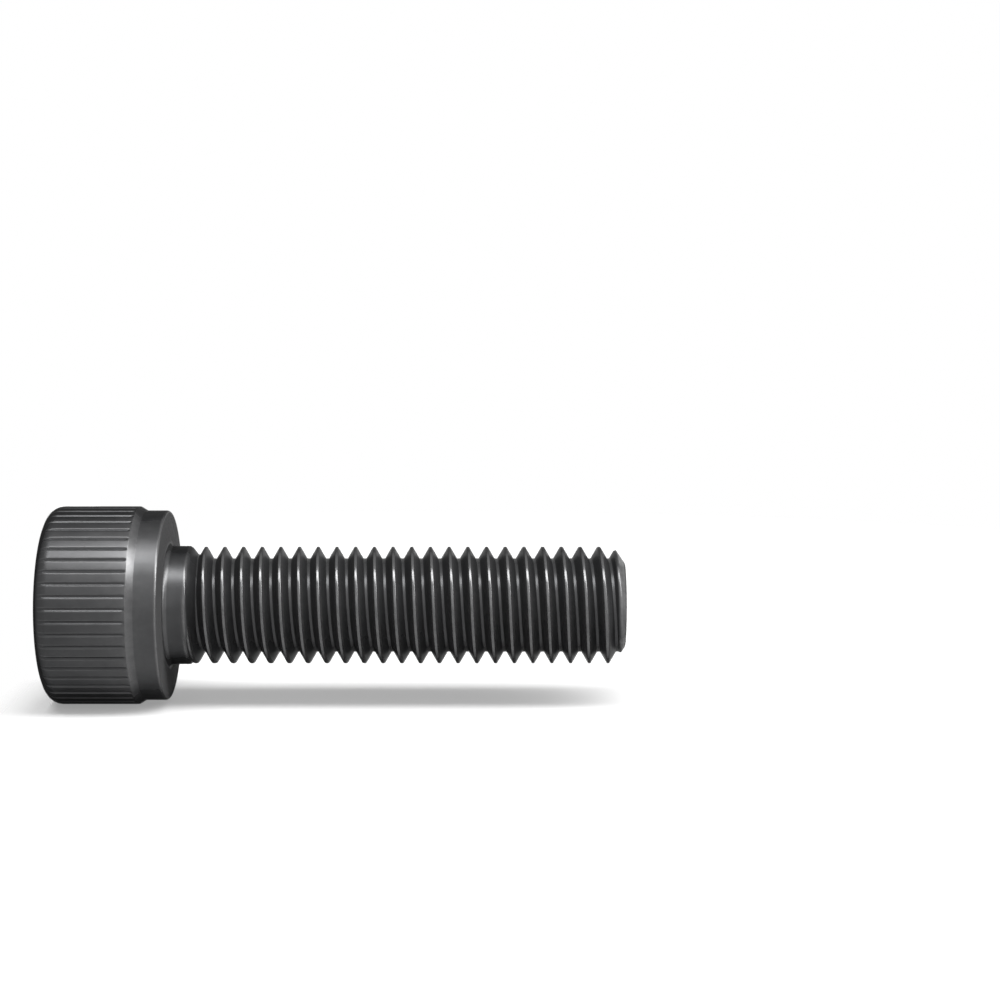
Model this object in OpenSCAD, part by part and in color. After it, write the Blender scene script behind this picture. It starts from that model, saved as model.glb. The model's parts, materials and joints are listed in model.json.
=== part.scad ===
// Hex socket cap screw with a knurled head, metric, about M8 x 30.
// The screw stands on its head: +Z runs along the axis from the head to the tip,
// and the origin is the centre of the bearing face under the head.

/* [Head] */
// Diameter over the knurled lands
head_d = 13.2; // [12.6:0.1:14]
// Height of the head, from its flat top to the bearing face
head_h = 8; // [7.6:0.1:9]
// Radius of the rounded rim round the top of the head
rim_r = 1; // [0.6:0.1:1.4]
// Height of the plain band between the knurling and the bearing face
band_h = 1.5; // [1:0.1:2]
// How far the plain band lies below the knurled lands
band_drop = 0.275; // [0.15:0.025:0.4]
// Length of the sloping step from the lands down to the band
step_l = 0.45; // [0.2:0.05:0.8]
// Radius of the edge round the bearing face
edge_r = 0.2; // [0.1:0.05:0.4]

/* [Knurling] */
// Number of straight grooves round the head
groove_count = 50; // [40:1:60]
// Width of a groove at the lands
groove_w = 0.24; // [0.16:0.02:0.3]
// Depth of a groove
groove_depth = 0.1; // [0.06:0.01:0.14]
// How far short of the step a groove ends
groove_end = 0.05; // [0:0.05:0.4]

/* [Socket] */
// Size of the hexagon across its flats
socket_af = 6.04; // [5.4:0.02:6.2]
// Depth of the hexagon at its corners
socket_depth = 4.2; // [3.6:0.1:4.6]
// Half angle of the hollow cone at the bottom of the socket
socket_floor_angle = 70; // [60:1:80]
// Diameter of the small flat at the centre of the socket
socket_flat_d = 2.1; // [1:0.1:3]
// How far the round countersink reaches past the corners of the hexagon
countersink_margin = 0.4; // [0.2:0.05:0.6]
// Half angle of the countersink
countersink_angle = 60; // [45:1:70]

/* [Neck] */
// Length of the plain neck under the head
neck_l = 1.44; // [1.2:0.02:2.4]
// How far the neck stands above the thread crests
neck_over = 0.05; // [0.02:0.01:0.1]
// Radius of the fillet between the neck and the bearing face
fillet_r = 0.35; // [0.2:0.05:0.6]
// Slope of the run-out cone at the end of the neck, from the axis
runout_angle = 51; // [40:1:60]

/* [Thread] */
// Diameter over the thread crests
thread_d = 7.8; // [7.2:0.05:8]
// Distance from one crest to the next
pitch = 1.25; // [1:0.05:1.5]
// Length from the bearing face to the tip
shank_l = 30.4; // [20:0.2:40]
// Distance from the end of the neck to the first whole crest, on the -Y side
first_crest = 0.98; // [0.9:0.02:1.4]
// Width of the flat on a crest
crest_w = 0.15; // [0.1:0.01:0.2]
// Width of the flat in a root
root_w = 0.2; // [0.14:0.01:0.3]
// Angle of each thread flank to a plane across the axis
flank_angle = 30; // [28:0.5:35]

/* [Tip] */
// Diameter of the flat end
tip_d = 5.62; // [4.6:0.02:6]
// Slope of the end chamfer, from the axis
tip_angle = 56; // [45:1:65]

/* [Hidden] */

// Colour of the black finish
black_finish = [0.2, 0.2, 0.21];

// Facets round one turn of the thread, and the corners of its outline in one pitch
turn_steps = 40;
corners = 4;
// Segments of every true circle
round_fn = 96;
// Overlap of solids that are joined, and reach of a cutter past what it cuts
overlap = 0.3;

head_r = head_d / 2;
band_r = head_r - band_drop;
neck_r = thread_d / 2 + neck_over;
step_z = -band_h - step_l;

socket_corner_r = socket_af / sqrt(3);
socket_flat_r = socket_flat_d / 2;
socket_floor_h = (socket_corner_r - socket_flat_r) / tan(socket_floor_angle);
countersink_r = socket_corner_r + countersink_margin;

// The rim and the fillet stay within the walls that carry them
rim_round = min(rim_r, head_r - countersink_r - overlap, head_h + step_z - overlap);
fillet_round = min(fillet_r, band_r - edge_r - neck_r, neck_l);

crest_r = thread_d / 2;
thread_depth = (pitch - crest_w - root_w) / 2 / tan(flank_angle);
root_r = crest_r - thread_depth;
core_r = root_r - overlap;

// Outline of one pitch: place along the axis from the middle of the root, and radius
thread_outline = [
    [-root_w / 2, root_r],
    [root_w / 2, root_r],
    [(pitch - crest_w) / 2, crest_r],
    [(pitch + crest_w) / 2, crest_r]
];
// The ridge starts inside the neck, one and a half turns before the first whole crest
thread_start = neck_l + first_crest - 1.5 * pitch;
turns = ceil((shank_l + overlap - thread_start) / pitch);
rows = corners * turns + 1;
// Turned so that the first whole crest lies at -Y
thread_phase = -90;

// What a round of radius r leaves of its square corner; the circle's centre is the origin
module corner_waste(r) {
    difference() {
        square(r + overlap);
        circle(r, $fn = round_fn);
    }
}

// Half outline of the head: flat top, rounded rim, lands, step, band and bearing edge
module head_outline() {
    difference() {
        polygon([
            [0, -head_h], [head_r, -head_h], [head_r, step_z],
            [band_r, -band_h], [band_r, 0], [0, 0]
        ]);
        translate([head_r - rim_round, rim_round - head_h]) mirror([0, 1]) corner_waste(rim_round);
        translate([band_r - edge_r, -edge_r]) corner_waste(edge_r);
    }
}

// Half outline of the neck, with its fillet below and its run-out cone above
module neck_outline() {
    cone_top = neck_l + (neck_r - core_r) / tan(runout_angle);
    polygon([
        [0, -overlap], [neck_r, -overlap], [neck_r, neck_l],
        [core_r, cone_top], [0, cone_top]
    ]);
    difference() {
        translate([neck_r - overlap, -overlap])
            square([overlap + fillet_round, overlap + fillet_round]);
        translate([neck_r + fillet_round, fillet_round]) circle(fillet_round, $fn = round_fn);
    }
}

// Turned body of the head and the neck
module blank() {
    rotate_extrude($fn = round_fn) {
        head_outline();
        neck_outline();
    }
}

// One V groove of the knurling, open at the rim and ended just short of the step
module groove() {
    half_w = groove_w / 2;
    bottom_r = head_r - groove_depth;
    // The flanks carry on past the lands, so that the groove keeps its width there
    widen = 1 + overlap / groove_depth;
    translate([0, 0, -head_h - overlap])
        linear_extrude(head_h + overlap + step_z - groove_end)
            polygon([
                [bottom_r, 0],
                [head_r + overlap, -half_w * widen],
                [head_r + overlap, half_w * widen]
            ]);
}

module knurling() {
    for (i = [0 : groove_count - 1])
        rotate([0, 0, 360 * i / groove_count]) groove();
}

// Hexagon with a cone-shaped floor, and the round countersink at its mouth
module socket() {
    floor_z = socket_depth - head_h;
    intersection() {
        translate([0, 0, -head_h - overlap])
            rotate([0, 0, 30])
                cylinder(r = socket_corner_r, h = socket_depth + socket_floor_h + 2 * overlap, $fn = 6);
        rotate_extrude($fn = round_fn)
            polygon([
                [0, -head_h - overlap], [countersink_r, -head_h - overlap],
                [countersink_r, floor_z - (countersink_r - socket_corner_r) / tan(socket_floor_angle)],
                [socket_flat_r, floor_z + socket_floor_h], [0, floor_z + socket_floor_h]
            ]);
    }
    widen = overlap * tan(countersink_angle);
    translate([0, 0, -head_h - overlap])
        cylinder(
            r1 = countersink_r + widen, r2 = 0,
            h = overlap + countersink_r / tan(countersink_angle), $fn = round_fn
        );
}

// Corner of the thread surface: step a round the turn, row j along the axis
function thread_point(a, j) =
    let (
        c = thread_outline[j % corners],
        angle = thread_phase + 360 * a / turn_steps,
        z = thread_start + pitch * (floor(j / corners) + a / turn_steps) + c[0]
    )
    [c[1] * cos(angle), c[1] * sin(angle), z];

// Rows in a step of the turn; the first one has a pitch more, to meet the end of the last
function rows_at(a) = rows + (a == 0 ? corners : 0);

// Place of a corner in the list; a whole turn on is one pitch, so four rows, further up
function thread_index(a, j) =
    a == 0 ? j
    : a < turn_steps ? a * rows + corners + j
    : thread_index(a - turn_steps, j + corners);

// Edge of the lower end, once round and back down the seam, and the same for the upper end
function end_edge(row) = concat(
    [for (a = [0 : turn_steps - 1]) thread_index(a, row)],
    [for (j = [corners : -1 : 1]) thread_index(0, row + j)]
);

// Screw thread as one closed solid, wound up the axis like a stair
module thread_rod() {
    last = rows - 1;
    points = concat(
        [for (a = [0 : turn_steps - 1]) for (j = [0 : rows_at(a) - 1]) thread_point(a, j)],
        [
            [0, 0, thread_start + pitch / 2],
            [0, 0, thread_start + pitch * (turns + 0.5)]
        ]
    );
    low = turn_steps * rows + corners;
    high = low + 1;
    low_edge = end_edge(0);
    high_edge = end_edge(last);
    count = len(low_edge);
    sides = [
        for (a = [0 : turn_steps - 1]) for (j = [0 : last - 1])
            let (
                p = thread_index(a, j), q = thread_index(a + 1, j),
                r = thread_index(a + 1, j + 1), s = thread_index(a, j + 1)
            )
            each [[p, r, q], [p, s, r]]
    ];
    lower_end = [for (i = [0 : count - 1]) [low_edge[i], low_edge[(i + 1) % count], low]];
    upper_end = [for (i = [0 : count - 1]) [high_edge[(i + 1) % count], high_edge[i], high]];
    polyhedron(points = points, faces = concat(sides, lower_end, upper_end), convexity = 10);
}

// Space that the tip fills: a flat end with a chamfer round it
module tip_envelope() {
    reach_r = crest_r + overlap;
    rotate_extrude($fn = round_fn)
        polygon([
            [0, thread_start - pitch], [reach_r, thread_start - pitch],
            [reach_r, shank_l - (reach_r - tip_d / 2) / tan(tip_angle)],
            [tip_d / 2, shank_l], [0, shank_l]
        ]);
}

// Right-hand thread, cut off at the chamfered tip
module thread() {
    intersection() {
        thread_rod();
        tip_envelope();
    }
}

module cap_screw() {
    color(black_finish) {
        difference() {
            blank();
            knurling();
            socket();
        }
        thread();
    }
}

cap_screw();
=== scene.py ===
"""Black hex socket cap screw: dressed model, studio and camera."""

import json
import math

import bpy
import numpy as np
from bpy.props import (
    BoolProperty, FloatProperty, FloatVectorProperty, IntProperty, PointerProperty,
)
from bpy.types import Operator, Panel, PropertyGroup
from mathutils import Matrix, Vector


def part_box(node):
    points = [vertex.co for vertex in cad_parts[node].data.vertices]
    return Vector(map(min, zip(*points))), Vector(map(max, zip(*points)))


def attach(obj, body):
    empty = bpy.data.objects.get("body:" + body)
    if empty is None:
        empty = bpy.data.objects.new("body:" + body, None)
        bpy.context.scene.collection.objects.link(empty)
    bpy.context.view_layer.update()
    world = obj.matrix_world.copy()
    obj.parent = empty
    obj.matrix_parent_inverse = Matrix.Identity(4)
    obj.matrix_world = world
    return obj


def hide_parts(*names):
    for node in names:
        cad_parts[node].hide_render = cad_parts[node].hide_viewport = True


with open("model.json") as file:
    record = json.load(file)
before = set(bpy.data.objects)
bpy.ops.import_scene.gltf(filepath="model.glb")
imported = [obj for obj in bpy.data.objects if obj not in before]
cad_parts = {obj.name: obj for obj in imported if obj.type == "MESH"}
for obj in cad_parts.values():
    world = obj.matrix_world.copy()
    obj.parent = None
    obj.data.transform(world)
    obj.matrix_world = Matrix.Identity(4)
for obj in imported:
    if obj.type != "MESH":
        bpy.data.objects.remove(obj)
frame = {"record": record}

bl_info = {
    "name": "Socket Cap Screw",
    "version": (1, 0, 0),
    "blender": (4, 5, 0),
    "location": "3D View > Sidebar > Cap Screw",
    "description": "Builds a black hex socket cap screw in a small white studio",
    "category": "Add Mesh",
}

NODE = "cap_screw"
MM = 0.001


# What the solid gives: its box, and the radius of its neck

def mount(name):
    """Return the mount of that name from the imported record."""
    return next(m for m in frame["record"]["mounts"] if m["name"] == name)


SOLID_LOW, SOLID_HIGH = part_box(NODE)
HEAD_R = round(SOLID_HIGH[0], 5)
HEAD_H = -round(SOLID_LOW[2], 5)
SHANK_L = round(SOLID_HIGH[2], 5)
NECK_R = mount("neck")["dims"]["r_mm"] * MM


def length(name, default, description):
    """Return a length property in metres."""
    return FloatProperty(
        name=name, description=description, default=default,
        min=0.0, precision=5, subtype="DISTANCE", unit="LENGTH",
    )


def slope(name, degrees, description):
    """Return an angle property whose default is given in degrees."""
    return FloatProperty(
        name=name, description=description, default=math.radians(degrees),
        min=0.0, max=math.pi / 2, subtype="ANGLE", unit="ROTATION",
    )


def colour(name, default, description):
    """Return a linear RGB colour property."""
    return FloatVectorProperty(
        name=name, description=description, default=default,
        size=3, min=0.0, max=1.0, subtype="COLOR",
    )


class ScrewHeadSizes(PropertyGroup):
    """Sizes of the head and its knurling."""

    radius: length("Radius", HEAD_R, "Radius over the knurled lands")
    height: length("Height", HEAD_H, "From the flat top of the head to the bearing face")
    rim: length("Rim", 1.0 * MM, "Radius of the rounded rim")
    band_height: length("Band height", 1.5 * MM, "Plain band beside the bearing face")
    band_drop: length("Band drop", 0.275 * MM, "Depth of the plain band below the lands")
    step: length("Step", 0.45 * MM, "Length of the slope from the lands to the band")
    edge: length("Bearing edge", 0.2 * MM, "Radius of the edge round the bearing face")
    grooves: IntProperty(
        name="Grooves", description="Straight grooves round the head", default=50, min=12,
    )
    groove_width: length("Groove width", 0.29 * MM, "Width of a groove at the lands")
    groove_depth: length("Groove depth", 0.075 * MM, "Depth of a rounded groove")


class ScrewSocketSizes(PropertyGroup):
    """Sizes of the hexagon socket."""

    across_flats: length("Across flats", 6.04 * MM, "Hexagon across its flats")
    depth: length("Depth", 4.2 * MM, "Depth of the hexagon at its corners")
    floor_angle: slope("Floor", 70.0, "Half angle of the hollow cone at the bottom")
    flat_radius: length("Centre flat", 1.05 * MM, "Radius of the flat at the centre")
    margin: length("Countersink margin", 0.4 * MM, "Countersink past the corners")
    mouth_angle: slope("Countersink", 60.0, "Half angle of the countersink")


class ScrewShankSizes(PropertyGroup):
    """Sizes of the neck, the thread and the tip."""

    length: length("Length", SHANK_L, "From the bearing face to the tip")
    neck_radius: length("Neck radius", NECK_R, "Radius of the plain neck")
    neck_length: length("Neck length", 1.44 * MM, "Length of the plain neck")
    fillet: length("Fillet", 0.35 * MM, "Fillet between neck and bearing face")
    runout_angle: slope("Run-out", 51.0, "Slope of the cone at the end of the neck")
    crest_radius: length("Crest radius", NECK_R - 0.05 * MM, "Radius over the crests")
    pitch: length("Pitch", 1.25 * MM, "From one crest to the next")
    first_crest: length("First crest", 0.98 * MM, "First whole crest past the neck, at -Y")
    crest_flat: length("Crest flat", 0.15 * MM, "Width of the flat on a crest")
    root_flat: length("Root flat", 0.2 * MM, "Width of the flat in a root")
    flank_angle: slope("Flank", 30.0, "Angle of a flank to a plane across the axis")
    tip_radius: length("Tip radius", 2.81 * MM, "Radius of the flat end")
    tip_angle: slope("Tip chamfer", 56.0, "Slope of the end chamfer from the axis")


class ScrewFinish(PropertyGroup):
    """Colours and finish of the steel."""

    film: colour("Oxide", (0.044, 0.0444, 0.0456), "Black oxide film")
    # The rubbed colour also paints highlights on the roots, the fillet, the neck end and the
    # lands beside the step
    rubbed_and_highlight: colour("Rubbed edge", (0.118, 0.118, 0.1195), "Edges where the film is rubbed")
    # Brighter colour of the step: rubbed steel, and a painted highlight along the step
    worn_and_highlight: colour("Worn step", (0.32, 0.32, 0.323), "Step below the lands, worn brighter")
    speck: colour("Speck", (0.42, 0.42, 0.43), "Small bright specks in the film")
    roughness: FloatProperty(
        name="Roughness", description="Mean roughness of the film",
        default=0.38, min=0.0, max=1.0, subtype="FACTOR",
    )


class ScrewStudio(PropertyGroup):
    """Camera, lamps, floor and card."""

    camera_distance: length("Camera distance", 150.5 * MM, "From the axis to the camera")
    camera_side: length("Camera side", 7.02 * MM, "Camera off the axis, towards -Y")
    camera_height: length("Camera height", 22.07 * MM, "Camera above the bearing face")
    lens: FloatProperty(
        name="Lens", description="Focal length in millimetres", default=81.0, min=1.0,
    )
    card: BoolProperty(
        name="Card", description="White card beside the screw, along its axis", default=True,
    )
    card_rise: slope("Card rise", 6.0, "Slope of the card, up behind the screw")
    backdrop: colour("Backdrop", (1.0, 1.0, 1.0), "Colour of floor, card and surroundings")


# Outlines in the plane of radius and height

def rounded(corners, steps):
    """Return a path through corners (radius, height, rounding), each rounding an arc."""
    path = []
    last = len(corners) - 1
    for i, (x, y, r) in enumerate(corners):
        here = np.array((x, y))
        if r <= 0.0 or i in (0, last):
            path.append(here)
            continue
        back = np.array(corners[i - 1][:2]) - here
        ahead = np.array(corners[i + 1][:2]) - here
        back /= np.linalg.norm(back)
        ahead /= np.linalg.norm(ahead)
        half = math.acos(float(np.clip(back @ ahead, -1.0, 1.0))) / 2
        centre = here + (back + ahead) / np.linalg.norm(back + ahead) * r / math.sin(half)
        start = here + back * r / math.tan(half) - centre
        end = here + ahead * r / math.tan(half) - centre
        turn = math.pi - 2 * half
        for k in range(steps + 1):
            t = turn * k / steps
            arc = start * math.sin(turn - t) + end * math.sin(t)
            path.append(centre + arc / math.sin(turn))
    return path


def refined(path, longest):
    """Return the path with every stretch over the given length divided evenly."""
    out = [path[0]]
    for a, b in zip(path, path[1:]):
        parts = max(1, math.ceil(np.linalg.norm(b - a) / longest))
        out.extend(a + (b - a) * k / parts for k in range(1, parts + 1))
    return out


def soft_min(a, b, blend):
    """Return the lesser of two heights, with the crease between them rounded."""
    overlap = np.maximum(blend - np.abs(a - b), 0.0) / blend
    return np.minimum(a, b) - overlap * overlap * blend / 4


def soft_max(a, b, blend):
    """Return the greater of two heights, with the crease between them rounded."""
    return -soft_min(-a, -b, blend)


class Skin:
    """Closed surface grown ring by ring, from the socket's centre out to the tip's."""

    def __init__(self):
        self.points = []
        self.wear_and_light = []
        self.faces = []
        self.last = []

    def point(self, angle, radius, height, wear_and_light):
        """Add one point and return its number."""
        self.points.append((radius * math.cos(angle), radius * math.sin(angle), height))
        self.wear_and_light.append(wear_and_light)
        return len(self.points) - 1

    def ring(self, angles, radii, heights, wear_and_light=0.0):
        """Add one ring of points and return their numbers."""
        first = len(self.points)
        count = len(angles)
        radii = np.broadcast_to(radii, count)
        heights = np.broadcast_to(heights, count)
        self.points.extend(zip(radii * np.cos(angles), radii * np.sin(angles), heights))
        self.wear_and_light.extend(np.broadcast_to(wear_and_light, count))
        return list(range(first, first + count))

    def grow(self, angles, radii, heights, wear_and_light=0.0):
        """Add one ring, join it to the last one, and return its numbers."""
        ring = self.ring(angles, radii, heights, wear_and_light)
        if len(self.last) == len(ring):
            self.bridge(self.last, ring)
        elif self.last:
            self.gather(self.last, ring)
        self.last = ring
        return ring

    def bridge(self, inner, outer):
        """Join two rings of the same count with quads."""
        count = len(inner)
        for k in range(count):
            n = (k + 1) % count
            self.faces.append((inner[k], inner[n], outer[n], outer[k]))

    def turned(self, ring):
        """Return the angle of each point of a ring, and of its first one a turn later."""
        places = (self.points[p] for p in ring)
        around = np.unwrap([math.atan2(y, x) for x, y, _ in places])
        return [*around, around[0] + 2 * math.pi]

    def gather(self, inner, outer):
        """Join two rings of unlike counts with triangles, point by point round the axis."""
        in_angles, out_angles = self.turned(inner), self.turned(outer)
        i = j = 0
        while i < len(inner) or j < len(outer):
            here, there = inner[i % len(inner)], outer[j % len(outer)]
            if j == len(outer) or (i < len(inner) and in_angles[i + 1] <= out_angles[j + 1]):
                i += 1
                self.faces.append((here, inner[i % len(inner)], there))
            else:
                j += 1
                self.faces.append((here, outer[j % len(outer)], there))

    def weave(self, net, seam, shift):
        """Join the columns of a net with quads; at the seam the next column is shifted up."""
        columns, rows = net.shape
        for a in range(columns):
            b = (a + 1) % columns
            up = shift if b == seam else 0
            for j in range(rows - 1):
                low_b = net[b, min(j + up, rows - 1)]
                high_b = net[b, min(j + 1 + up, rows - 1)]
                face = (net[a, j], low_b, high_b, net[a, j + 1])
                # Where the net's points fall together, a quad is a triangle or nothing
                kept = [int(p) for i, p in enumerate(face) if p != face[i - 1]]
                if len(set(kept)) > 2:
                    self.faces.append(tuple(kept))

    def close(self, height, up):
        """Close the last ring with a fan round a point on the axis, facing up or down."""
        centre = self.point(0.0, 0.0, height, 0.0)
        for pair in zip(self.last, self.last[1:] + self.last[:1]):
            self.faces.append((*(pair if up else reversed(pair)), centre))


# Columns round the socket and the shank
COLUMNS = 120
# Columns over one groove of the head and the land beside it, in groove spacings
GROOVE_COLUMNS = (-0.24, -0.165, -0.13, -0.09, -0.04, 0.0, 0.04, 0.09, 0.13, 0.165, 0.24, 0.5)

# Wear and painted light on the film: 0 is whole, 1 takes the rubbed colour at rubbed edges and
# at painted highlights, 2 is the brighter step colour, and below 0 is painted shade in a hollow
RIDGE_WEAR = 0.3
LANDS_WEAR = 0.06
# Painted highlight on the lands, fading away from the step
LANDS_END_PAINTED_HIGHLIGHT = 0.22
GROOVE_LIP_WEAR = 0.4
# Painted shade in the grooves, negative so that their hollows darken
GROOVE_PAINTED_SHADE = -0.4
# The step: rubbing, and a painted highlight in the brighter step colour
STEP_WEAR_AND_HIGHLIGHT = 1.7
# Painted highlight on the lands right beside the step
BESIDE_STEP_PAINTED_HIGHLIGHT = 0.5
EDGE_WEAR = 1.1
# The bearing face: rubbed, and lightened as painted light
FACE_WEAR_AND_PAINTED_LIGHT = 1.0
# Painted highlight on the fillet under the head
FILLET_PAINTED_HIGHLIGHT = 0.5
NECK_WEAR = 0.2
# Painted highlight along the thread's roots
ROOT_PAINTED_HIGHLIGHT = 0.15
TIP_WEAR = 0.5


def even_angles(count):
    """Return evenly spaced angles of a whole turn."""
    return np.arange(count) * 2 * math.pi / count


def bell(distance, width):
    """Return 1 at no distance, falling off smoothly over the given width."""
    return np.exp(-(distance / width) ** 2)


def hexagon(angles, across_flats, corner):
    """Return the hexagon's radius at each angle, with flats at +X and -X."""
    folded = (angles + math.pi / 6) % (math.pi / 3) - math.pi / 6
    here = across_flats / 2 / np.cos(folded)
    beside = across_flats / 2 / np.cos(math.pi / 3 - np.abs(folded))
    return soft_min(here, beside, corner)


def add_socket(skin, sizes, head):
    """Add floor, walls and countersink, out to a ring round the mouth."""
    corner_round = 0.06 * MM
    foot_rise = 0.22 * MM
    lip = 0.05 * MM
    ridge_foot = 1.14 * sizes.flat_radius
    angles = even_angles(COLUMNS)
    hexed = hexagon(angles, sizes.across_flats, corner_round)
    corner_r = sizes.across_flats / math.sqrt(3)
    floor_top = sizes.depth - head.height
    mouth_r = corner_r + sizes.margin

    def floor_height(radius):
        return floor_top + (corner_r - radius) / math.tan(sizes.floor_angle)

    def mouth_height(radius):
        return -head.height + (mouth_r - radius) / math.tan(sizes.mouth_angle)

    # The centre flat, a shallow trough round it, and a low ridge on the cone beside that
    flat_z = floor_height(sizes.flat_radius)
    skin.grow(angles, sizes.flat_radius * 0.5, flat_z)
    skin.close(flat_z, up=False)
    for share, ridge in ((0.86, 0.0), (0.94, 0.0), (1.0, 0.03 * MM), (1.06, 0.02 * MM)):
        radius = sizes.flat_radius * share
        wear_and_light = RIDGE_WEAR if ridge else 0.0
        skin.grow(angles, radius, floor_height(radius) - ridge, wear_and_light)
    for share in (0.0, 0.2, 0.4, 0.6, 0.8, 0.93):
        radius = ridge_foot + (hexed - ridge_foot) * share
        skin.grow(angles, radius, floor_height(radius))

    # Rounded foot of the walls, and the walls
    foot = floor_height(hexed)
    for inset, rise in ((0.06 * MM, 0.02 * MM), (0.01 * MM, 0.1 * MM), (0.0, foot_rise)):
        skin.grow(angles, hexed - inset, foot - rise)
    top = mouth_height(hexed)
    for share in (0.25, 0.5, 0.75, 0.97):
        skin.grow(angles, hexed, foot - foot_rise + (top - foot + foot_rise) * share)

    # Rubbed edge of the walls, the countersink, and its rubbed mouth
    for out, wear_and_light in ((0.0, 0.6), (0.3, 1.0), (1.0, 0.6)):
        radius = np.minimum(hexed + lip * out, mouth_r - lip)
        skin.grow(angles, radius, mouth_height(radius) - 0.3 * lip * (1 - out), wear_and_light)
    start = np.minimum(hexed + lip, mouth_r - lip)
    for share in (0.3, 0.6, 0.9):
        radius = start + (mouth_r - start) * share
        skin.grow(angles, radius, mouth_height(radius))
    for out, rise, wear_and_light in ((0.0, 0.35, 0.7), (0.5, 0.08, 0.7), (1.2, 0.0, 0.4)):
        skin.grow(angles, mouth_r + lip * out, -head.height + lip * rise, wear_and_light)
    skin.grow(angles, mouth_r + 3 * lip, -head.height)


def head_path(head, step_z):
    """Return the head's outline, from its flat top over the step to the bearing face."""
    band_r = head.radius - head.band_drop
    # The lands have closer rings where the grooves end
    path = rounded([
        (head.radius - head.rim - 0.3 * MM, -head.height, 0.0),
        (head.radius, -head.height, head.rim),
        *((head.radius, step_z - back * MM, 0.0) for back in (0.28, 0.2, 0.13, 0.07)),
        (head.radius, step_z, 0.05 * MM),
        (band_r, -head.band_height, 0.12 * MM),
        (band_r, 0.0, head.edge),
        (band_r - head.edge - 0.15 * MM, 0.0, 0.0),
    ], steps=6)
    return refined(path, longest=1.3 * MM)


def head_wear_and_light(head, step_z, height, beside, depth):
    """Return the wear and painted light of a ring's points, from how far beside and deep in a
    groove they lie.
    """
    on_edge = EDGE_WEAR * bell(height + head.edge * 0.3, head.edge * 0.5)
    on_step = STEP_WEAR_AND_HIGHLIGHT * bell(height - step_z - head.step * 0.4, head.step * 0.5)
    on_face = FACE_WEAR_AND_PAINTED_LIGHT * bell(height, 0.08 * MM)
    wear_and_light = max(on_edge, on_step, on_face)
    # Painted highlight: the lands next to the step are brightened
    if height < step_z:
        wear_and_light = max(wear_and_light, BESIDE_STEP_PAINTED_HIGHLIGHT * bell(height - step_z, 0.5 * MM))
    if -head.height + head.rim * 0.3 < height < step_z - 0.1 * MM:
        # Lands: slight wear, and a painted highlight that grows towards the step
        lands = LANDS_WEAR + LANDS_END_PAINTED_HIGHLIGHT * bell(height - step_z, 2.2 * MM)
        lips = GROOVE_LIP_WEAR * bell(2 * beside / head.groove_width - 0.95, 0.3)
        wear_and_light = np.maximum(max(wear_and_light, lands), lips)
    return wear_and_light + GROOVE_PAINTED_SHADE * depth


def add_head(skin, head, shank):
    """Add top face, rim, knurling, step, band and bearing face, up to the fillet."""
    step_z = -head.band_height - head.step
    groove_end = step_z - 0.02 * MM
    end_length = 0.22 * MM
    spacing = 2 * math.pi / head.grooves
    columns = np.array(GROOVE_COLUMNS)
    angles = np.concatenate([(k + columns) * spacing for k in range(head.grooves)])
    # How far each point lies from the middle of its groove
    beside = np.abs((angles / spacing + 0.5) % 1.0 - 0.5) * spacing * head.radius
    across = np.clip(2 * beside / head.groove_width, 0.0, 1.0)
    hollow = head.groove_depth * (1 + np.cos(math.pi * across)) / 2
    for radius, height in head_path(head, step_z):
        # A groove fades out just before the step, with a short rounded end
        fade = float(np.clip((groove_end - height) / end_length, 0.0, 1.0))
        cut = np.minimum(radius, head.radius - hollow * math.sin(fade * math.pi / 2))
        depth = (radius - cut) / head.groove_depth
        skin.grow(angles, cut, height, head_wear_and_light(head, step_z, height, beside, depth))
    inner_r = shank.neck_radius + shank.fillet + 0.15 * MM
    # The ring at the fillet's edge carries its painted highlight
    skin.grow(even_angles(COLUMNS), inner_r, 0.0, FILLET_PAINTED_HIGHLIGHT)


def thread_rows(shank):
    """Return place along the axis and radius of each row of one pitch, root to root."""
    depth = (shank.pitch - shank.crest_flat - shank.root_flat) / 2 / math.tan(shank.flank_angle)
    root_r = shank.crest_radius - depth
    half_root = shank.root_flat / 2
    half_crest = shank.crest_flat / 2
    middle = shank.pitch / 2
    crest_round = 0.055 * MM
    root_round = 0.08 * MM
    path = rounded([
        (0.0, root_r, 0.0),
        (half_root, root_r, root_round),
        (middle - half_crest, shank.crest_radius, crest_round),
        (middle + half_crest, shank.crest_radius, crest_round),
        (shank.pitch - half_root, root_r, root_round),
        (shank.pitch, root_r, 0.0),
    ], steps=3)
    # The last row is the first one of the next pitch
    along, radii = np.transpose(refined(path, longest=0.3 * MM)[:-1])
    return along, radii


def chamfer_radius(shank, height):
    """Return the radius of the chamfer at the tip, or of the cone that carries it on."""
    return shank.tip_radius + (shank.length - height) * math.tan(shank.tip_angle)


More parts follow.
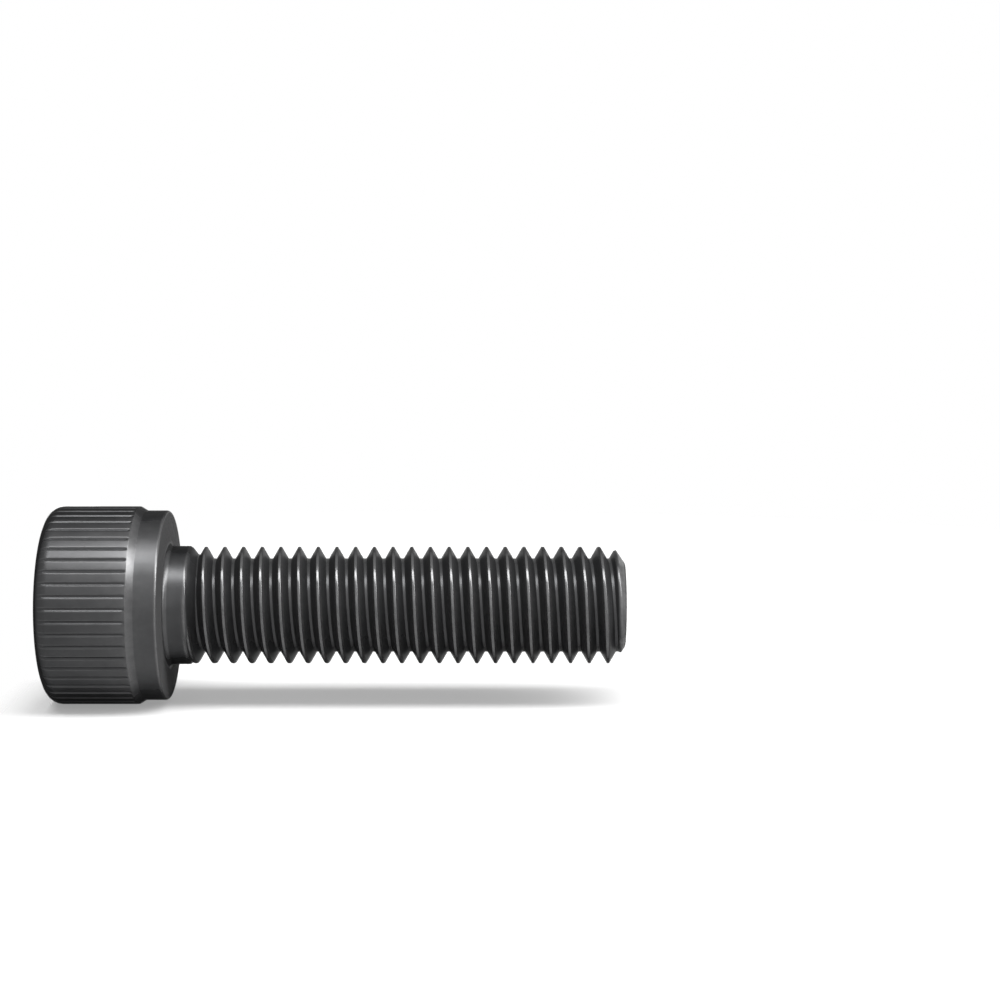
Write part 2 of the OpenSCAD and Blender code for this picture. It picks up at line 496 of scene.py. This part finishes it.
def thread_shape(shank, z, form):
    """Return radius, and wear and painted highlight, of the thread's points, from their heights
    and its form.
    """
    cone = shank.neck_radius - (z - shank.neck_length) * math.tan(shank.runout_angle)
    cone = soft_min(np.full(z.shape, shank.neck_radius), cone, blend=0.06 * MM)
    r = soft_max(np.broadcast_to(form, z.shape), cone, blend=0.04 * MM)
    chamfer = chamfer_radius(shank, z)
    on_crest = np.clip((r - shank.crest_radius + 0.12 * MM) / (0.1 * MM), 0.0, 1.0)
    on_crest = np.where(z < shank.neck_length + 0.2 * MM, 0.0, on_crest)
    # Painted highlight: the root flats take some rubbed colour, for a bright line along each
    # root
    root_painted_highlight = ROOT_PAINTED_HIGHLIGHT * np.clip(1 - (r - form.min()) / (0.08 * MM), 0.0, 1.0)
    # Painted highlight: a bright line where the neck ends and the run-out starts
    neck_end_painted_highlight = bell(z - shank.neck_length, 0.07 * MM)
    on_chamfer = np.where(r > chamfer, 1.0, 0.0)
    wear_and_light = np.maximum.reduce([on_crest, root_painted_highlight, neck_end_painted_highlight, on_chamfer])
    return soft_min(r, chamfer, blend=0.07 * MM), wear_and_light


def add_neck(skin, shank, high):
    """Add the fillet and the plain neck, up to the height where the run-out may start."""
    angles = even_angles(COLUMNS)
    path = rounded([
        (shank.neck_radius + shank.fillet + 0.08 * MM, 0.0, 0.0),
        (shank.neck_radius, 0.0, shank.fillet),
        (shank.neck_radius, high, 0.0),
    ], steps=8)
    for radius, height in path[:-1]:
        # The fillet carries a painted highlight, the neck a little wear
        in_fillet = height < 0.9 * shank.fillet
        skin.grow(angles, radius, height, FILLET_PAINTED_HIGHLIGHT if in_fillet else NECK_WEAR)


def add_thread(skin, shank, low, high):
    """Add run-out, thread and chamfer as one net of rows wound up between two rings."""
    angles = even_angles(COLUMNS)
    along, radii = thread_rows(shank)
    per_pitch = len(along)
    start = shank.neck_length + shank.first_crest - 1.5 * shank.pitch
    # Whole turns below the lowest row, so that the first turn lies wholly under it
    start -= shank.pitch * math.ceil((start + shank.pitch - low) / shank.pitch)
    turns = math.ceil((high - start) / shank.pitch) + 1
    count = per_pitch * turns + 1
    number = np.arange(count)
    axial = start + along[number % per_pitch] + (number // per_pitch) * shank.pitch
    # The rows start at -Y, where the first whole crest is, and climb a pitch in a turn
    first = np.argmin(np.abs(angles - 1.5 * math.pi))
    lift = ((np.arange(COLUMNS) - first) % COLUMNS) / COLUMNS * shank.pitch
    z = np.clip(axial[None, :] + lift[:, None], low, high)
    r, wear_and_light = thread_shape(shank, z, radii[number % per_pitch])

    top = skin.ring(angles, r[:, -1], high, TIP_WEAR)
    base = skin.grow(angles, shank.neck_radius, low)
    net = np.empty(z.shape, dtype=int)
    for a in range(COLUMNS):
        for j in range(count):
            if z[a, j] <= low:
                net[a, j] = base[a]
            elif z[a, j] >= high:
                net[a, j] = top[a]
            else:
                net[a, j] = skin.point(angles[a], r[a, j], z[a, j], wear_and_light[a, j])
    # Where the turn ends, a row meets the one a pitch above it
    skin.weave(net, seam=first, shift=per_pitch)
    skin.last = top


def add_tip(skin, shank, low):
    """Add the end of the chamfer and the flat end, and close it."""
    angles = even_angles(COLUMNS)
    path = rounded([
        (chamfer_radius(shank, low), low, 0.0),
        (shank.tip_radius, shank.length, 0.04 * MM),
        (shank.tip_radius * 0.9, shank.length, 0.0),
    ], steps=4)
    for radius, height in path[1:]:
        skin.grow(angles, radius, height, TIP_WEAR)
    skin.grow(angles, shank.tip_radius * 0.5, shank.length)
    skin.close(shank.length, up=True)


def add_shank(skin, shank):
    """Add fillet, neck, thread and chamfered tip, and close the end."""
    thread_low = shank.neck_length - 0.45 * MM
    thread_high = shank.length - 0.05 * MM
    add_neck(skin, shank, thread_low)
    add_thread(skin, shank, thread_low, thread_high)
    add_tip(skin, shank, thread_high)


# Materials

class Nodes:
    """Short way to add and join shader nodes."""

    def __init__(self, tree):
        self.tree = tree
        self.tree.nodes.clear()

    def add(self, kind, inputs=None, **settings):
        """Add a node, set its properties, and set or join its inputs."""
        node = self.tree.nodes.new(kind)
        for key, value in settings.items():
            setattr(node, key, value)
        for key, value in (inputs or {}).items():
            if isinstance(value, bpy.types.NodeSocket):
                self.tree.links.new(value, node.inputs[key])
            else:
                node.inputs[key].default_value = value
        return node

    def math(self, operation, a, b=0.0, clamp=False):
        """Add a Math node and return its output."""
        node = self.add("ShaderNodeMath", {0: a, 1: b}, operation=operation, use_clamp=clamp)
        return node.outputs[0]

    def spread(self, value, low, high, to_low=0.0, to_high=1.0):
        """Map a value from one range to another, held at both ends."""
        node = self.add("ShaderNodeMapRange", {
            "Value": value, "From Min": low, "From Max": high,
            "To Min": to_low, "To Max": to_high,
        })
        return node.outputs["Result"]

    def noise(self, vector, scale, detail, roughness):
        """Add 3D noise, with scale in features to the metre, and return its value."""
        node = self.add("ShaderNodeTexNoise", {
            "Vector": vector, "Scale": scale, "Detail": detail, "Roughness": roughness,
        })
        return node.outputs["Fac"]

    def mix(self, factor, a, b):
        """Mix two colours and return the result."""
        # A Mix node takes its colours at inputs 6 and 7, and gives one at output 2
        node = self.add("ShaderNodeMix", {0: factor, 6: a, 7: b}, data_type="RGBA")
        return node.outputs[2]


BLACK = (0.0, 0.0, 0.0, 1.0)


def rgba(tint, share=1.0):
    """Return a share of a colour, with full alpha."""
    return (*(share * c for c in tint), 1.0)


def oxide_steel(finish, head, shank):
    """Return black oxide on forged and rolled steel: satin, mottled, rubbed at its edges, with
    painted highlights and painted shade in its colour.
    """
    material = bpy.data.materials.new("black_oxide_steel")
    material.use_nodes = True
    n = Nodes(material.node_tree)
    place = n.add("ShaderNodeTexCoord").outputs["Object"]
    axial = n.add("ShaderNodeSeparateXYZ", {0: place}).outputs["Z"]
    wear_and_light = n.add("ShaderNodeAttribute", attribute_name="wear_and_light").outputs["Fac"]
    cloud = n.noise(place, scale=420.0, detail=3.0, roughness=0.55)
    patches = n.noise(place, scale=1500.0, detail=4.0, roughness=0.65)
    pits = n.noise(place, scale=4200.0, detail=1.0, roughness=0.5)
    grain = n.noise(place, scale=9000.0, detail=3.0, roughness=0.6)

    # Below 0 the value stands for a groove hollow: painted shade darkens its colour towards
    # black, and its roughness rises
    rub_and_highlight = n.math("MULTIPLY", wear_and_light, n.spread(patches, 0.35, 0.7, to_low=0.6), clamp=True)
    hollow = n.spread(wear_and_light, 0.0, -0.8, to_high=0.25)
    on_face = n.spread(n.math("ABSOLUTE", axial), 0.05 * MM, 0.02 * MM)
    on_top = n.spread(axial, -head.height + 0.03 * MM, -head.height)
    speck = n.math("MULTIPLY", n.spread(pits, 0.72, 0.78), n.spread(cloud, 0.45, 0.65))
    speck = n.math("MULTIPLY", speck, on_top)

    # Colour of the film with painted shade in the hollows, then of rubbed places and painted
    # highlights, the bearing face and the specks
    cloudy = n.spread(cloud, 0.3, 0.7)
    film = n.mix(cloudy, rgba(finish.film, 0.9), rgba(finish.film, 1.1))
    # Painted shade: the colour in the groove hollows is darkened towards black
    film = n.mix(hollow, film, BLACK)
    base = n.mix(rub_and_highlight, film, rgba(finish.rubbed_and_highlight))
    # Above 1 the value mixes in the brighter step colour, rubbed steel and a painted highlight
    base = n.mix(n.spread(wear_and_light, 1.0, 2.0), base, rgba(finish.worn_and_highlight))
    # The bearing face takes a lighter colour, partly a rubbed face and partly painted light
    base = n.mix(on_face, base, rgba(finish.rubbed_and_highlight, 0.7))
    base = n.mix(speck, base, rgba(finish.speck))

    # The film is less metallic on the thread's flanks, at its rubbed end and on the bearing face
    thread_z = shank.neck_length + 0.06 * MM
    end_z = shank.length - 0.8 * MM
    on_thread = n.spread(axial, thread_z, thread_z + 0.4 * MM, to_high=0.32)
    on_end = n.spread(axial, end_z, end_z + 0.2 * MM, to_high=0.5)
    flank_dull = n.math("MULTIPLY", on_thread, n.math("SUBTRACT", 1.0, rub_and_highlight))
    end_dull = n.math("MULTIPLY", on_end, rub_and_highlight)
    face_dull = n.math("MULTIPLY", on_face, 0.5)
    dull = n.math("MAXIMUM", n.math("MAXIMUM", flank_dull, face_dull), end_dull)
    metal = n.math("SUBTRACT", 0.9, dull)
    specular = n.spread(on_face, 0.0, 1.0, to_low=0.15, to_high=0.0)

    # Roughness is uneven, less on the shank and at rubbed and painted-highlight places, and more
    # in hollows
    rough = n.math("ADD", finish.roughness, n.spread(patches, 0.3, 0.7, -0.03, 0.03))
    rough = n.math("ADD", rough, n.spread(cloud, 0.3, 0.7, -0.02, 0.02))
    rough = n.math("SUBTRACT", rough, n.spread(axial, 0.1 * MM, 0.4 * MM, to_high=0.06))
    rough = n.math("ADD", rough, n.math("MULTIPLY", hollow, 0.2))
    rough = n.math("SUBTRACT", rough, n.math("MULTIPLY", rub_and_highlight, 0.14), clamp=True)
    height = n.math("ADD", n.math("MULTIPLY", grain, 0.6), n.math("MULTIPLY", patches, 0.4))
    bump = n.add("ShaderNodeBump", {"Strength": 0.1, "Distance": 0.01 * MM, "Height": height})

    shader = n.add("ShaderNodeBsdfPrincipled", {
        "Base Color": base, "Metallic": metal, "Roughness": rough, "Normal": bump.outputs[0],
        "Specular Tint": BLACK, "Specular IOR Level": specular,
    })
    n.add("ShaderNodeOutputMaterial", {"Surface": shader.outputs[0]})
    return material


def seen_directly(n):
    """Return 1 for camera, glossy and transmission rays, and 0 for the rest."""
    path = n.add("ShaderNodeLightPath")
    seen = n.math("MAXIMUM", path.outputs["Is Camera Ray"], path.outputs["Is Glossy Ray"])
    return n.math("MAXIMUM", seen, path.outputs["Is Transmission Ray"])


def backdrop_paper(name, tint, shade, glow, ground, middle, near, far):
    """Return paper that holds the shadow round a middle, clear from behind and below ground."""
    material = bpy.data.materials.new(name)
    material.use_nodes = True
    n = Nodes(material.node_tree)
    place = n.add("ShaderNodeTexCoord").outputs["Object"]
    away = n.add("ShaderNodeVectorMath", {0: place, 1: middle}, operation="DISTANCE")
    height = n.add("ShaderNodeSeparateXYZ", {0: place}).outputs["Z"]
    below = n.spread(height, ground - 0.8 * MM, ground - 4 * MM)
    faded = n.math("MAXIMUM", n.spread(away.outputs["Value"], near, far), below)
    faded = n.math("MAXIMUM", faded, n.add("ShaderNodeNewGeometry").outputs["Backfacing"])
    lit = n.add("ShaderNodeBsdfDiffuse", {"Color": rgba(tint, shade)})
    strength = n.math("MULTIPLY", seen_directly(n), glow)
    pale = n.add("ShaderNodeEmission", {"Color": rgba(tint), "Strength": strength})
    paper = n.add("ShaderNodeAddShader", {0: lit.outputs[0], 1: pale.outputs[0]})
    clear = n.add("ShaderNodeBsdfTransparent")
    surface = n.add("ShaderNodeMixShader", {
        0: faded, 1: paper.outputs[0], 2: clear.outputs[0],
    }).outputs[0]
    n.add("ShaderNodeOutputMaterial", {"Surface": surface})
    return material


# Objects

def new_object(name, points, faces, material):
    """Return a smooth-shaded mesh object in the scene."""
    mesh = bpy.data.meshes.new(name)
    mesh.from_pydata([tuple(map(float, p)) for p in points], [], faces)
    mesh.validate()
    mesh.shade_smooth()
    mesh.materials.append(material)
    piece = bpy.data.objects.new(name, mesh)
    bpy.context.scene.collection.objects.link(piece)
    return piece


class SCREW_OT_cap_screw(Operator):
    """Build the screw: head, knurling, socket, neck, thread and tip in one skin"""

    bl_idname = "screw.cap_screw"
    bl_label = "Cap Screw"
    bl_options = {"REGISTER", "UNDO"}

    def execute(self, context):
        scene = context.scene
        skin = Skin()
        add_socket(skin, scene.screw_socket, scene.screw_head)
        add_head(skin, scene.screw_head, scene.screw_shank)
        add_shank(skin, scene.screw_shank)
        steel = oxide_steel(scene.screw_finish, scene.screw_head, scene.screw_shank)
        piece = new_object("socket_cap_screw", skin.points, skin.faces, steel)
        wear_and_light = piece.data.attributes.new("wear_and_light", "FLOAT", "POINT")
        wear_and_light.data.foreach_set("value", np.array(skin.wear_and_light, dtype=np.float32))
        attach(piece, "root")
        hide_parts(NODE)
        return {"FINISHED"}


def add_sheet(name, corners, material):
    """Add one flat sheet of the studio."""
    sheet = new_object(name, corners, [(0, 1, 2, 3)], material)


# Distance of the lamps from the object, in metres
LAMP_DISTANCE = 2.5


def placed(axes, place):
    """Return the matrix of an object from the directions of its axes and its place."""
    return Matrix((*((*axis, 0.0) for axis in axes), (*place, 1.0))).transposed()


def add_light(light, towards):
    """Add a lamp in a direction from the object, facing it, its long side along the screw."""
    back = Vector(towards).normalized()
    along = Vector((0, 0, 1)) - back * back.z
    # A lamp nearly on the axis has no side along it, and takes +X
    along = along.normalized() if along.length > 0.2 else Vector((1, 0, 0))
    lamp = bpy.data.objects.new(light.name, light)
    lamp.matrix_world = placed((along, back.cross(along), back), back * LAMP_DISTANCE)
    bpy.context.scene.collection.objects.link(lamp)


def add_strip_lamp(name, towards, spread, radiance):
    """Add a long soft lamp; spread is how long and how wide it looks, in degrees."""
    light = bpy.data.lights.new(name, "AREA")
    light.shape = "RECTANGLE"
    long, wide = (2 * LAMP_DISTANCE * math.tan(math.radians(a / 2)) for a in spread)
    light.size, light.size_y = long, wide
    # The lamp's radiance is a quarter of its power for each square metre
    light.energy = 4 * radiance * long * wide
    add_light(light, towards)


def add_far_lamp(name, towards, width, strength):
    """Add a far soft round lamp; width is how wide it looks, in degrees."""
    light = bpy.data.lights.new(name, "SUN")
    light.angle = math.radians(width)
    light.energy = strength
    add_light(light, towards)


def add_camera(studio):
    """Add the camera, rolled a quarter turn, so that the standing screw lies level."""
    data = bpy.data.cameras.new("camera")
    data.lens = studio.lens
    data.clip_start = 5 * MM
    data.clip_end = 20.0
    camera = bpy.data.objects.new("camera", data)
    place = (studio.camera_distance, -studio.camera_side, studio.camera_height)
    camera.matrix_world = placed(((0, 0, 1), (0, -1, 0), (1, 0, 0)), place)
    bpy.context.scene.collection.objects.link(camera)
    bpy.context.scene.camera = camera


def add_world(tint, light):
    """Add plain surroundings: white where they are seen, softer where they only light."""
    world = bpy.data.worlds.new("surroundings")
    world.use_nodes = True
    n = Nodes(world.node_tree)
    strength = n.spread(seen_directly(n), 0.0, 1.0, to_low=light)
    sky = n.add("ShaderNodeBackground", {"Color": rgba(tint), "Strength": strength})
    n.add("ShaderNodeOutputWorld", {"Surface": sky.outputs[0]})
    bpy.context.scene.world = world


class SCREW_OT_studio(Operator):
    """Build the studio: floor, white card, lamps, surroundings and camera"""

    bl_idname = "screw.studio"
    bl_label = "Studio"
    bl_options = {"REGISTER", "UNDO"}

    def execute(self, context):
        scene = context.scene
        studio = scene.screw_studio
        scene.view_settings.view_transform = "Standard"
        ground = -scene.screw_head.height
        reach = 120 * MM
        floor = backdrop_paper(
            "floor_paper", studio.backdrop, shade=0.5, glow=0.55, ground=ground,
            middle=(-9 * MM, 0.0, ground), near=9.5 * MM, far=12 * MM,
        )
        add_sheet("floor", [
            (-reach, -reach, ground), (reach, -reach, ground),
            (reach, reach, ground), (-reach, reach, ground),
        ], floor)
        if studio.card:
            # The card clears the head, and slopes up behind the screw
            beside = (scene.screw_head.radius + 0.05 * MM) / math.cos(studio.card_rise)
            rise = reach * math.tan(studio.card_rise)
            foot = ground - 10 * MM
            card = backdrop_paper(
                "card_paper", studio.backdrop, shade=0.47, glow=0.29, ground=ground,
                middle=(0.0, 0.0, scene.screw_shank.length / 2), near=90 * MM, far=118 * MM,
            )
            add_sheet("side_card", [
                (-reach, beside - rise, foot), (reach, beside + rise, foot),
                (reach, beside + rise, reach), (-reach, beside - rise, reach),
            ], card)
        add_strip_lamp("key_lamp", (0.41, -0.82, 0.39), spread=(100.0, 24.0), radiance=8.2)
        add_far_lamp("front_lamp", (0.88, -0.43, 0.18), width=60.0, strength=0.7)
        add_far_lamp("back_lamp", (-0.75, -0.5, 0.45), width=60.0, strength=0.3)
        add_far_lamp("top_lamp", (0.0, -0.1, 1.0), width=60.0, strength=0.9)
        add_world(studio.backdrop, light=0.25)
        add_camera(studio)
        return {"FINISHED"}


class SCREW_PT_panel(Panel):
    """Sidebar panel with the sizes and the buttons that build the scene"""

    bl_label = "Cap Screw"
    bl_idname = "SCREW_PT_panel"
    bl_space_type = "VIEW_3D"
    bl_region_type = "UI"
    bl_category = "Cap Screw"

    def draw(self, context):
        layout = self.layout
        for name, title, button in PANEL_PARTS:
            box = layout.box()
            box.label(text=title)
            group = getattr(context.scene, name)
            for key in group.__annotations__:
                box.prop(group, key)
            if button:
                box.operator(button)


PANEL_PARTS = (
    ("screw_head", "Head", ""),
    ("screw_socket", "Socket", ""),
    ("screw_shank", "Neck, thread and tip", ""),
    ("screw_finish", "Finish", SCREW_OT_cap_screw.bl_idname),
    ("screw_studio", "Studio", SCREW_OT_studio.bl_idname),
)
GROUPS = {
    "screw_head": ScrewHeadSizes,
    "screw_socket": ScrewSocketSizes,
    "screw_shank": ScrewShankSizes,
    "screw_finish": ScrewFinish,
    "screw_studio": ScrewStudio,
}
CLASSES = (*GROUPS.values(), SCREW_OT_cap_screw, SCREW_OT_studio, SCREW_PT_panel)


def register():
    """Register the classes and hang their settings on the scene."""
    for cls in CLASSES:
        bpy.utils.register_class(cls)
    for name, group in GROUPS.items():
        setattr(bpy.types.Scene, name, PointerProperty(type=group))


def unregister():
    """Take everything off again."""
    for name in GROUPS:
        delattr(bpy.types.Scene, name)
    for cls in reversed(CLASSES):
        bpy.utils.unregister_class(cls)


def main():
    """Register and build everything."""
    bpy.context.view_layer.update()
    register()
    bpy.ops.screw.studio()
    bpy.ops.screw.cap_screw()


if __name__ == "__main__":
    main()
